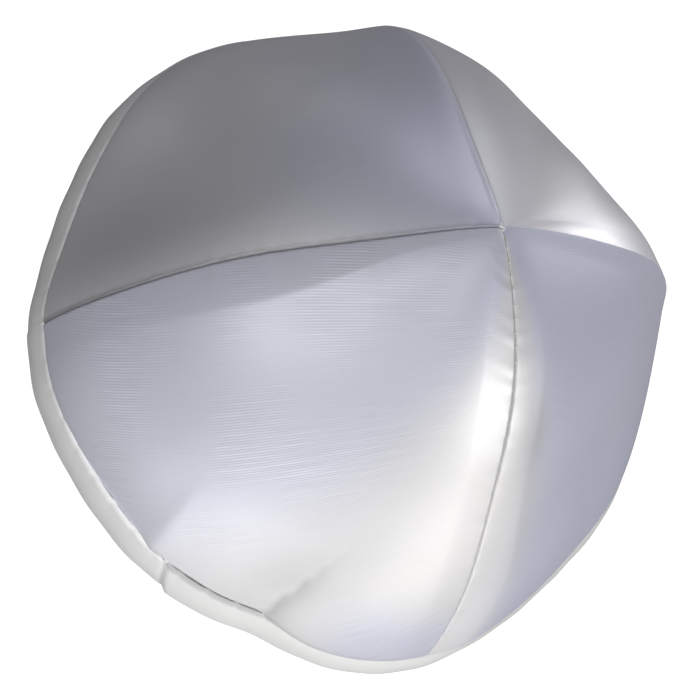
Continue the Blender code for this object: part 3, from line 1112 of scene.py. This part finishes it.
def painted_edge_shading(lap, column, height):
    """The tape's upper edge: a painted highlight up to the lap, and a painted shadow beyond it."""
    edge = ease((height - TAPE_TOP + EDGE_WIDTH) / EDGE_FADE)
    if lap < 0 or column >= LEFT_GORE_COLUMN:
        return PAINTED_HEM_HIGHLIGHT * edge
    return PAINTED_LAP_SHADOW * edge * (1 - ease((lap - GREY_LENGTH) / GREY_FADE))


print("shade of the hem:", round(float(painted_edge_shading(-1.0, 0, TAPE_TOP)), 2))

# %% [markdown]
# The section is spun round the cap as one closed band. Each point then looks up
# its column on the rim, takes the outline at its own height and moves out by the
# relief. The outlines are kept by height, because many points share one. The
# foot stays flat where the cap stands on it. A Solidify modifier gives the band
# the thickness of the cloth, so its edges look turned in and not cut.

# %% The tape
TAPE_CLOTH = 0.7 * MM
FLAT_FOOT = 0.3 * MM


def make_binding():
    """The tape: its section spun round the cap and moved onto the rim's outline."""
    bm = bmesh.new()
    cloth = bm.loops.layers.uv.new("cloth")
    shade_layer = bm.verts.layers.float.new("shade")
    section = tape_section()
    chain = [bm.verts.new((RIM_RADIUS - depth, 0, height)) for depth, height in section]
    edges = [bm.edges.new(pair) for pair in zip(chain, chain[1:])]
    columns = TAPE_COLUMNS * len(GORES)
    bmesh.ops.spin(bm, geom=chain + edges, cent=(0, 0, 0), axis=(0, 0, 1),
                   angle=math.tau, steps=columns, use_merge=True)
    path = np.cumsum(np.linalg.norm(np.roll(rim_path, -1, 0) - rim_path, axis=1)) / MM
    lap_along = path[int(LAP_ACROSS * TAPE_COLUMNS)]
    rings = {}
    flat = {}
    for vertex in bm.verts:
        depth = RIM_RADIUS - math.hypot(vertex.co.x, vertex.co.y)
        height = vertex.co.z
        key = round(height, 7)
        if key not in rings:
            rings[key] = rim_ring(height)
        ring, inward = rings[key]
        column = round(math.atan2(vertex.co.y, vertex.co.x) / math.tau * columns) % columns
        outside = 1 - ease(depth / TAPE_WIDTH)
        out = tape_relief(path[column], lap_along, height / MM) * MM * outside
        out = out if height > FLAT_FOOT else 0.0
        place = ring[column] + inward[column] * (depth - out)
        vertex.co = (place[0], place[1], height)
        # The painted highlight and painted shadow along the tape's upper edge.
        vertex[shade_layer] = outside * painted_edge_shading(path[column] - lap_along, column, height)
        flat[vertex] = (path[column] * MM, height if depth < TAPE_WIDTH / 2 else -height)
    for vertex, place in flat.items():
        for loop in vertex.link_loops:
            loop[cloth].uv = place
    bmesh.ops.recalc_face_normals(bm, faces=bm.faces)
    piece = finish_piece(bm, "tape_binding", (TAPE_SATIN,), "rim_binding")
    wall = piece.modifiers.new("cloth", "SOLIDIFY")
    wall.thickness = TAPE_CLOTH
    wall.offset = -1
    return piece


binding = make_binding()

# %% [markdown]
# ## Stitches and knots
#
# Near the crown the cloth of the front seam gapes a little and shows its
# stitches. The four gores end in one knot of thread, and a smaller knot holds
# the end of the tape. Real thread could be a curve with a bevel, but at this
# size a few small stretched spheres look the same and need far fewer faces.

# %% One bit of thread and its place on a seam
STRAND_SIDES = 8
STRAND_RINGS = 6
SEAM_STEP = 0.002


def add_strand(bm, place, along, length, radius):
    """A short bit of thread: a stretched sphere laid along a direction."""
    turn = Vector(along).to_track_quat("Z", "Y").to_matrix().to_4x4()
    stretch = Matrix.Diagonal((1, 1, length / (2 * radius), 1))
    bmesh.ops.create_uvsphere(bm, u_segments=STRAND_SIDES, v_segments=STRAND_RINGS,
                              radius=radius * MM,
                              matrix=Matrix.Translation(Vector(place)) @ turn @ stretch)


def seam_place(gore, side, up):
    """A point on a seam, its outward direction and the direction up the seam."""
    across = np.array([0.0 if side == "first" else 1.0] * 2)
    ups = np.array([up, min(up + SEAM_STEP, TOP_SHARE)])
    points = surface(gore, across, ups)[0]
    return points[0], seam_normals(gore, side, ups)[0], unit(points[1] - points[0])


seam_top = seam_place(GORES[0], "last", TOP_SHARE - SEAM_STEP)[0]
print("top of a seam in mm:", round(float(seam_top[2]) / MM, 1))

# %% [markdown]
# The stitches cross the front seam at a slant, one in each pitch, and the knots
# are a few strands laid over each other. An array along a curve could repeat the
# stitches, but a loop over their places follows the bent seam by itself. They
# are all one piece, because one thread sewed them.

# %% Stitches and knots
Stitching = namedtuple("Stitching", "gore side first last length radius")
STITCHING = Stitching("panel_front", "last", 1, 10, 0.8, 0.10)
STITCH_SLANT = 0.35
STITCH_LIFT = 0.05
Strand = namedtuple("Strand", "east north rise turn tilt length radius")
CROWN_KNOT = (
    Strand(0.0, 0.0, -0.25, 20, 0, 2.0, 0.34),
    Strand(0.5, -0.4, -0.15, 80, 5, 1.4, 0.24),
    Strand(-0.5, 0.3, -0.15, -35, -5, 1.4, 0.22),
    Strand(0.2, 0.6, -0.20, 55, 10, 1.2, 0.18),
)
TapeStrand = namedtuple("TapeStrand", "lift shift")
TAPE_KNOT = (TapeStrand(0.0, 0.0), TapeStrand(0.3, 0.5))
TAPE_KNOT_DEPTH = 0.1
TAPE_KNOT_SLOPE = 0.4
TAPE_KNOT_LENGTH = 1.0
TAPE_KNOT_RADIUS = 0.32


def make_threads():
    """The stitches of the front seam and the knots, as one small piece."""
    bm = bmesh.new()
    gore = next(gore for gore in GORES if gore.name == STITCHING.gore)
    rise = CROWN_HEIGHT / MM * math.pi / 2
    for count in range(STITCHING.first, STITCHING.last):
        up = 1 - (count + 0.5) * STITCH_PITCH / rise
        point, outward, climb = seam_place(gore, STITCHING.side, up)
        sideways = np.cross(climb, outward) + STITCH_SLANT * climb
        place = point + outward * STITCH_LIFT * MM
        add_strand(bm, place, sideways, STITCHING.length, STITCHING.radius)
    for row in CROWN_KNOT:
        turn, tilt = math.radians(row.turn), math.radians(row.tilt)
        along = (math.cos(turn) * math.cos(tilt), math.sin(turn) * math.cos(tilt), math.sin(tilt))
        place = (CENTRE[0] + row.east * MM, CENTRE[1] + row.north * MM,
                 CROWN_HEIGHT + row.rise * MM)
        add_strand(bm, place, along, row.length, row.radius)
    ring, inwards = rim_ring(BINDING_HEIGHT)
    column = int(LAP_ACROSS * TAPE_COLUMNS)
    inward = inwards[column]
    edge = ring[column] + inward * TAPE_KNOT_DEPTH * MM
    for row in TAPE_KNOT:
        place = (edge[0] - inward[1] * row.shift * MM, edge[1] + inward[0] * row.shift * MM,
                 BINDING_HEIGHT + row.lift * MM)
        along = (inward[1], -inward[0], TAPE_KNOT_SLOPE)
        add_strand(bm, place, along, TAPE_KNOT_LENGTH, TAPE_KNOT_RADIUS)
    return finish_piece(bm, "seam_threads", (TAPE_SATIN,), None)


threads = make_threads()

# %% [markdown]
# ## The floor and the light
#
# The photo is cut out on white, and the cap is lit from the front and a little
# from behind. A pale floor carries the cap. It glows faintly where the camera
# looks at it, and it sends less light back to the cap than to the camera, so
# that it comes out nearly white and the cap keeps its shadows. In front of the
# cap it also glows for the cap itself, because there the low front catches light
# from below. A white world would be simpler, but it would light every side alike.

# %% The floor
FLOOR_HALF = 3.0
FLOOR_ROUGHNESS = 0.9
FLOOR_SPECULAR = 0.1
FLOOR_GLOW = 0.8
FLOOR_PALE = (0.95, 0.95, 0.95, 1)
FLOOR_BOUNCE = (0.3, 0.3, 0.3, 1)
FRONT_GLOW = 0.8
FRONT_TURN = 290
FRONT_START = 0.04
FRONT_FULL = 0.25


def make_floor():
    """A wide pale floor."""
    bm = bmesh.new()
    bmesh.ops.create_grid(bm, x_segments=1, y_segments=1, size=FLOOR_HALF)
    mesh = bpy.data.meshes.new("floor")
    bm.to_mesh(mesh)
    bm.free()
    material = bpy.data.materials.new("pale floor")
    material.use_nodes = True
    tree = material.node_tree
    shader = tree.nodes["Principled BSDF"]
    shader.inputs["Roughness"].default_value = FLOOR_ROUGHNESS
    shader.inputs["Specular IOR Level"].default_value = FLOOR_SPECULAR
    shader.inputs["Emission Color"].default_value = (1, 1, 1, 1)
    seen = tree.nodes.new("ShaderNodeLightPath")
    place = tree.nodes.new("ShaderNodeTexCoord")
    forward = tree.nodes.new("ShaderNodeVectorMath")
    forward.operation = "DOT_PRODUCT"
    turn = math.radians(FRONT_TURN)
    forward.inputs[1].default_value = (math.cos(turn), math.sin(turn), 0)
    tree.links.new(place.outputs["Object"], forward.inputs[0])
    front = tree.nodes.new("ShaderNodeMapRange")
    front.interpolation_type = "SMOOTHSTEP"
    front.inputs["From Min"].default_value = FRONT_START
    front.inputs["From Max"].default_value = FRONT_FULL
    front.inputs["To Max"].default_value = FRONT_GLOW
    tree.links.new(forward.outputs["Value"], front.inputs["Value"])
    glow = tree.nodes.new("ShaderNodeMix")
    glow.inputs["B"].default_value = FLOOR_GLOW
    tree.links.new(seen.outputs["Is Camera Ray"], glow.inputs["Factor"])
    tree.links.new(front.outputs["Result"], glow.inputs["A"])
    tree.links.new(glow.outputs["Result"], shader.inputs["Emission Strength"])
    pale = tree.nodes.new("ShaderNodeMix")
    pale.data_type = "RGBA"
    pale.inputs["A"].default_value = FLOOR_BOUNCE
    pale.inputs["B"].default_value = FLOOR_PALE
    tree.links.new(seen.outputs["Is Camera Ray"], pale.inputs["Factor"])
    tree.links.new(pale.outputs["Result"], shader.inputs["Base Color"])
    mesh.materials.append(material)
    floor = bpy.data.objects.new("floor", mesh)
    bpy.context.scene.collection.objects.link(floor)
    return floor


floor = make_floor()
print("floor in m:", [round(side, 1) for side in floor.dimensions])

# %% [markdown]
# Satin shows its folds by long soft glints, so no lamp here is small or hard.
# One big softbox would light the folds evenly. Several round ones, low at the
# front and the back and higher at the sides, give each gore its own slow change
# from light to dark. Each has the strength that it has on a surface facing it,
# so that a lamp can be moved away without dimming.

# %% The lights
Light = namedtuple("Light", "name turn elevation distance size strength color")
LIGHTS = (
    Light("key", 285, 4, 1.0, 0.6, 0.74, (1.0, 1.0, 1.0)),
    Light("side", 325, 4, 1.0, 0.6, 0.80, (1.02, 1.0, 0.96)),
    Light("high", 334, 42, 1.0, 0.5, 1.00, (1.0, 1.0, 1.0)),
    Light("behind", 73, 5, 1.0, 0.4, 0.54, (1.02, 1.0, 0.98)),
    Light("ridge", 68, 26, 1.0, 0.3, 0.10, (1.02, 1.0, 0.98)),
    Light("back", 110, 28, 1.0, 0.5, 0.30, (1.0, 1.0, 1.02)),
    Light("left", 240, 45, 1.0, 0.5, 0.70, (1.0, 1.0, 1.0)),
    Light("top", 0, 75, 1.0, 0.4, 0.14, (0.95, 0.95, 1.10)),
)


def make_lights():
    """Soft area lights round the cap, each with its strength on a surface that faces it."""
    aim = Vector((0, 0, CROWN_HEIGHT / 2))
    for row in LIGHTS:
        turn = math.radians(row.turn)
        elevation = math.radians(row.elevation)
        way = Vector((math.cos(turn) * math.cos(elevation),
                      math.sin(turn) * math.cos(elevation), math.sin(elevation)))
        data = bpy.data.lights.new(row.name, "AREA")
        data.shape = "DISK"
        data.size = row.size
        data.energy = row.strength * math.pi * row.distance ** 2
        data.color = row.color
        light = bpy.data.objects.new(row.name, data)
        light.location = aim + way * row.distance
        light.rotation_euler = way.to_track_quat("Z", "Y").to_euler()
        bpy.context.scene.collection.objects.link(light)


make_lights()
print("lights:", [row.name for row in LIGHTS])

# %% [markdown]
# A faint bluish world fills the shadows, as a white room does. The Standard view
# keeps whites white, where a filmic one would turn the satin grey.

# %% The world and the view
WORLD_COLOR = (0.85, 0.87, 1.0, 1)
WORLD_STRENGTH = 0.06

world = bpy.data.worlds.new("studio")
world.use_nodes = True
background = world.node_tree.nodes["Background"]
background.inputs["Color"].default_value = WORLD_COLOR
background.inputs["Strength"].default_value = WORLD_STRENGTH
bpy.context.scene.world = world
bpy.context.scene.view_settings.view_transform = "Standard"
print("world strength:", WORLD_STRENGTH)
